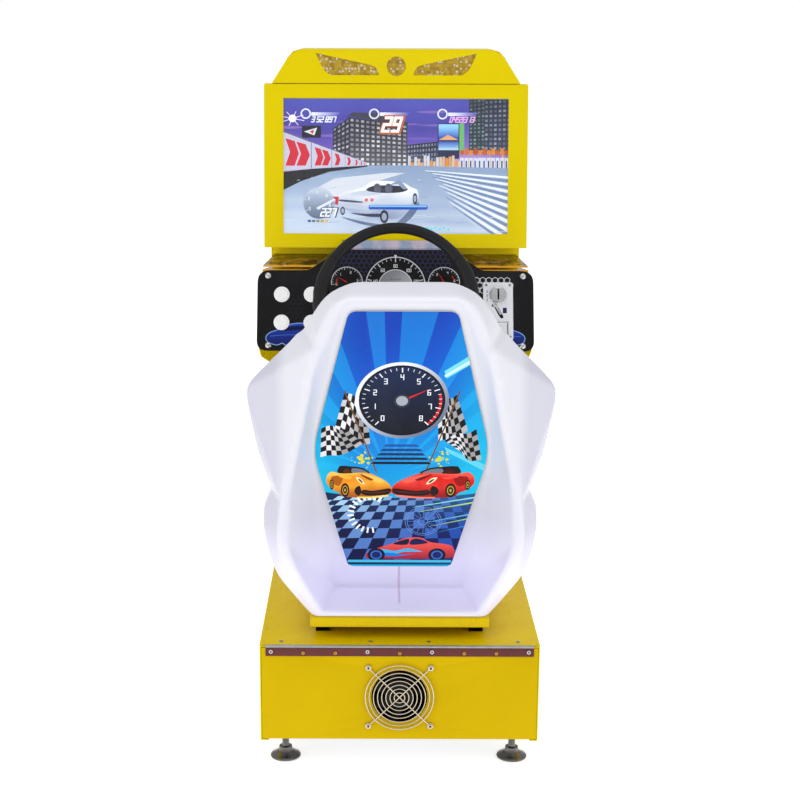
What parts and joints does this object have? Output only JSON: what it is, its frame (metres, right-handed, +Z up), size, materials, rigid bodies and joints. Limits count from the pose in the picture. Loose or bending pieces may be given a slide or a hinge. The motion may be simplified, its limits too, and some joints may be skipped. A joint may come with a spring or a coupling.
{
  "type": "sitdown racing cabinet",
  "caption": "Sit-down driving game cabinet: sliding bucket seat on a low base, upright with steering wheel, coin dash, pedals, screen and marquee.",
  "frame": {"origin": "middle of the cabinet's outline on the floor it stands on", "axes": "+Z up, +Y from the back of the seat towards the screen, +X to the seated driver's right"},
  "size_m": [0.58, 1.1743, 1.181],
  "materials": {
    "yellow_paint": "gloss yellow baked enamel",
    "galvanised": "bright zinc plate",
    "chrome": "polished",
    "black_paint": "satin black",
    "shell_white": "translucent white moulding lit from inside",
    "picture": "printed racing picture under clear film",
    "black_plastic": "fine grained black",
    "grip": "soft moulded grip",
    "dash_print": "printed black overlay with dials",
    "screen": "lit display",
    "clear_cover": "clear",
    "gold_film": "gold patterned film",
    "brown_steel": "bronzed piano hinge",
    "button_white": "translucent white",
    "circuit": "circuit board green"
  },
  "bodies": {
    "cabinet": {"base_floor": "galvanised", "base_side_left": "yellow_paint", "base_side_right": "yellow_paint", "button_housing_1": "button_white", "button_housing_2": "button_white", "button_housing_3": "button_white", "button_housing_4": "button_white", "coin_mech": "black_plastic", "coin_plate": "chrome", "console_cover": "clear_cover", "console_shell": "yellow_paint", "dash_panel": "dash_print", "deck_plate": "yellow_paint", "game_board": "circuit", "hinge_leaf_fixed": "brown_steel", "lcd_panel": "screen", "marquee_body": "yellow_paint", "marquee_film": "gold_film", "marquee_panel": "yellow_paint", "pedal_bracket": "black_paint", "power_inlet": "black_plastic", "power_supply": "galvanised", "rail_lower_left": "black_paint", "rail_lower_right": "black_paint", "screen_frame": "yellow_paint", "screen_glass": "clear_cover", "speaker": "black_plastic", "steering_mount": "black_plastic", "upright_front": "yellow_paint", "upright_rear": "yellow_paint", "upright_side_left": "yellow_paint", "upright_side_right": "yellow_paint"},
    "rear_door": {"rear_door_panel": "yellow_paint", "hinge_leaf_door": "brown_steel", "fan_frame": "black_plastic", "fan_guard": "chrome"},
    "fan_rotor": {"fan_rotor": "black_plastic"},
    "seat": {"seat_plate": "yellow_paint", "rail_upper_left": "galvanised", "rail_upper_right": "galvanised", "seat_shell": "shell_white", "art_panel": "picture"},
    "seat_lever": {"seat_lock_lever": "black_paint"},
    "steering_wheel": {"wheel_rim": "grip", "wheel_spokes": "black_paint", "wheel_cap": "black_plastic"},
    "button_1": {"button_cap_1": "button_white"},
    "button_2": {"button_cap_2": "button_white"},
    "button_3": {"button_cap_3": "button_white"},
    "button_4": {"button_cap_4": "button_white"},
    "coin_button": {"coin_button": "chrome"},
    "coin_flap": {"coin_flap": "chrome"},
    "brake": {"brake_pedal": "black_paint"},
    "accelerator": {"accelerator_pedal": "black_paint"},
    "service_door": {"service_door": "yellow_paint"},
    "power_switch": {"power_switch": "black_plastic"},
    "foot_near_left": {"foot_near_left": "chrome"},
    "foot_near_right": {"foot_near_right": "chrome"},
    "foot_far_left": {"foot_far_left": "chrome"},
    "foot_far_right": {"foot_far_right": "chrome"}
  },
  "joints": [
    {"name": "seat_slide", "type": "slide", "parent": "cabinet", "child": "seat", "axis": [0, 1, 0], "range_m": [-0.05, 0.1]},
    {"name": "seat_lock_lever_lift", "type": "hinge", "parent": "seat", "child": "seat_lever", "pos_m": [0, -0.1105, 0.227], "axis": [1, 0, 0], "range_deg": [0, 10], "stiffness_Nm_per_rad": 2, "springref_deg": -17.19},
    {"name": "steering_turn", "type": "hinge", "parent": "cabinet", "child": "steering_wheel", "pos_m": [0, 0.2195, 0.683], "axis": [0, -0.9272, 0.3746], "range_deg": [-135, 135]},
    {"name": "button_1_press", "type": "slide", "parent": "cabinet", "child": "button_1", "axis": [0, 0.9272, -0.3746], "range_m": [0, 0.003], "stiffness_N_per_m": 400, "springref_m": -0.004},
    {"name": "button_2_press", "type": "slide", "parent": "cabinet", "child": "button_2", "axis": [0, 0.9272, -0.3746], "range_m": [0, 0.003], "stiffness_N_per_m": 400, "springref_m": -0.004},
    {"name": "button_3_press", "type": "slide", "parent": "cabinet", "child": "button_3", "axis": [0, 0.9272, -0.3746], "range_m": [0, 0.003], "stiffness_N_per_m": 400, "springref_m": -0.004},
    {"name": "button_4_press", "type": "slide", "parent": "cabinet", "child": "button_4", "axis": [0, 0.9272, -0.3746], "range_m": [0, 0.003], "stiffness_N_per_m": 400, "springref_m": -0.004},
    {"name": "coin_return_press", "type": "slide", "parent": "cabinet", "child": "coin_button", "axis": [0, 0.9272, -0.3746], "range_m": [0, 0.004], "stiffness_N_per_m": 500, "springref_m": -0.004},
    {"name": "coin_flap_swing", "type": "hinge", "parent": "cabinet", "child": "coin_flap", "pos_m": [0.215, 0.31268, 0.62316], "axis": [1, 0, 0], "range_deg": [0, 60], "stiffness_Nm_per_rad": 0.004, "springref_deg": -40.11},
    {"name": "brake_press", "type": "hinge", "parent": "cabinet", "child": "brake", "pos_m": [-0.072, 0.2895, 0.236], "axis": [-1, 0, 0], "range_deg": [0, 18], "stiffness_Nm_per_rad": 6, "springref_deg": -22.92},
    {"name": "accelerator_press", "type": "hinge", "parent": "cabinet", "child": "accelerator", "pos_m": [0.072, 0.2895, 0.236], "axis": [-1, 0, 0], "range_deg": [0, 18], "stiffness_Nm_per_rad": 4, "springref_deg": -22.92},
    {"name": "rear_door_swing", "type": "hinge", "parent": "cabinet", "child": "rear_door", "pos_m": [0, -0.4729, 0.2172], "axis": [-1, 0, 0], "range_deg": [0, 90]},
    {"name": "fan_spin", "type": "hinge", "parent": "rear_door", "child": "fan_rotor", "pos_m": [0, -0.4505, 0.126], "axis": [0, 1, 0], "continuous": true},
    {"name": "service_door_swing", "type": "hinge", "parent": "cabinet", "child": "service_door", "pos_m": [-0.1905, 0.5874, 0.53], "axis": [0, 0, 1], "range_deg": [0, 110]},
    {"name": "power_rocker", "type": "hinge", "parent": "cabinet", "child": "power_switch", "pos_m": [0.15, 0.5855, 0.143], "axis": [1, 0, 0], "range_deg": [0, 12]},
    {"name": "foot_near_left_screw", "type": "hinge", "parent": "cabinet", "child": "foot_near_left", "pos_m": [-0.195, -0.4305, 0.04], "axis": [0, 0, 1], "continuous": true},
    {"name": "foot_near_right_screw", "type": "hinge", "parent": "cabinet", "child": "foot_near_right", "pos_m": [0.195, -0.4305, 0.04], "axis": [0, 0, 1], "continuous": true},
    {"name": "foot_far_left_screw", "type": "hinge", "parent": "cabinet", "child": "foot_far_left", "pos_m": [-0.222, 0.5295, 0.04], "axis": [0, 0, 1], "continuous": true},
    {"name": "foot_far_right_screw", "type": "hinge", "parent": "cabinet", "child": "foot_far_right", "pos_m": [0.222, 0.5295, 0.04], "axis": [0, 0, 1], "continuous": true}
  ]
}
